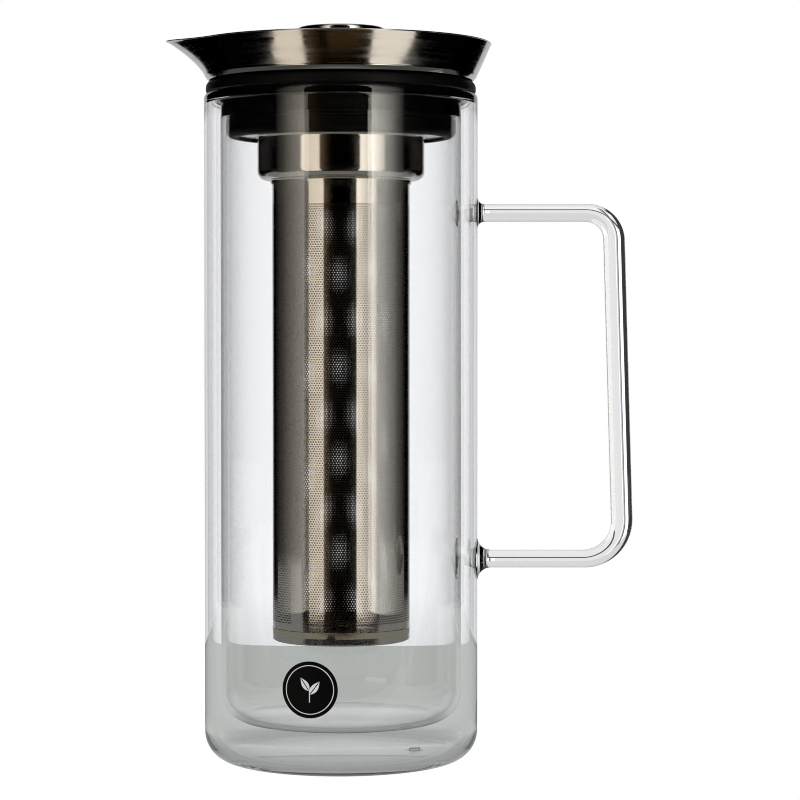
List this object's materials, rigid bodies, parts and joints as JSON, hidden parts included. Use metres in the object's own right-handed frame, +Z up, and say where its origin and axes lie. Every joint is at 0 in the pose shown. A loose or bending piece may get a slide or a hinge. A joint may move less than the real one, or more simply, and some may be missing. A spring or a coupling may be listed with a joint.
{
  "type": "iced tea pitcher",
  "caption": "Tall double-walled glass jug with a bent glass rod handle, a flared steel pouring lid with a lift valve, and a perforated steel infuser hanging from its stopper.",
  "frame": {"origin": "middle of the glass base, on the table", "axes": "+Z up along the jug's axis, +X to the handle, -X to the spout, -Y to the viewer"},
  "size_m": [0.171, 0.109, 0.2681],
  "materials": {
    "clear_glass": "clear polished",
    "clear_silicone": "clear",
    "sticker": "printed film",
    "brushed_sheet": "fine brushed",
    "polished_steel": "polished",
    "perforated_steel": "satin",
    "black_silicone": "glossy",
    "black_plastic": "satin"
  },
  "bodies": {
    "jug": {"outer_glass": "clear_glass", "inner_glass": "clear_glass", "handle": "clear_glass", "vent_plug": "clear_silicone", "label": "sticker"},
    "lid": {"lid_collar": "brushed_sheet", "stopper_seal": "black_silicone", "lid_core": "black_plastic", "lock_ring": "black_plastic"},
    "valve": {"knob_cap": "polished_steel", "valve_plug": "black_plastic", "valve_seal": "black_silicone", "stem_clip": "polished_steel"},
    "infuser": {"infuser_collar": "polished_steel", "infuser_tube": "perforated_steel", "infuser_base": "polished_steel"}
  },
  "joints": [
    {"name": "lid_lift", "type": "slide", "parent": "jug", "child": "lid", "axis": [0, 0, 1], "range_m": [0, 0.21]},
    {"name": "valve_lift", "type": "slide", "parent": "lid", "child": "valve", "axis": [0, 0, 1], "range_m": [0, 0.009]},
    {"name": "infuser_pull", "type": "slide", "parent": "lid", "child": "infuser", "axis": [0, 0, -1], "range_m": [0, 0.02]}
  ]
}
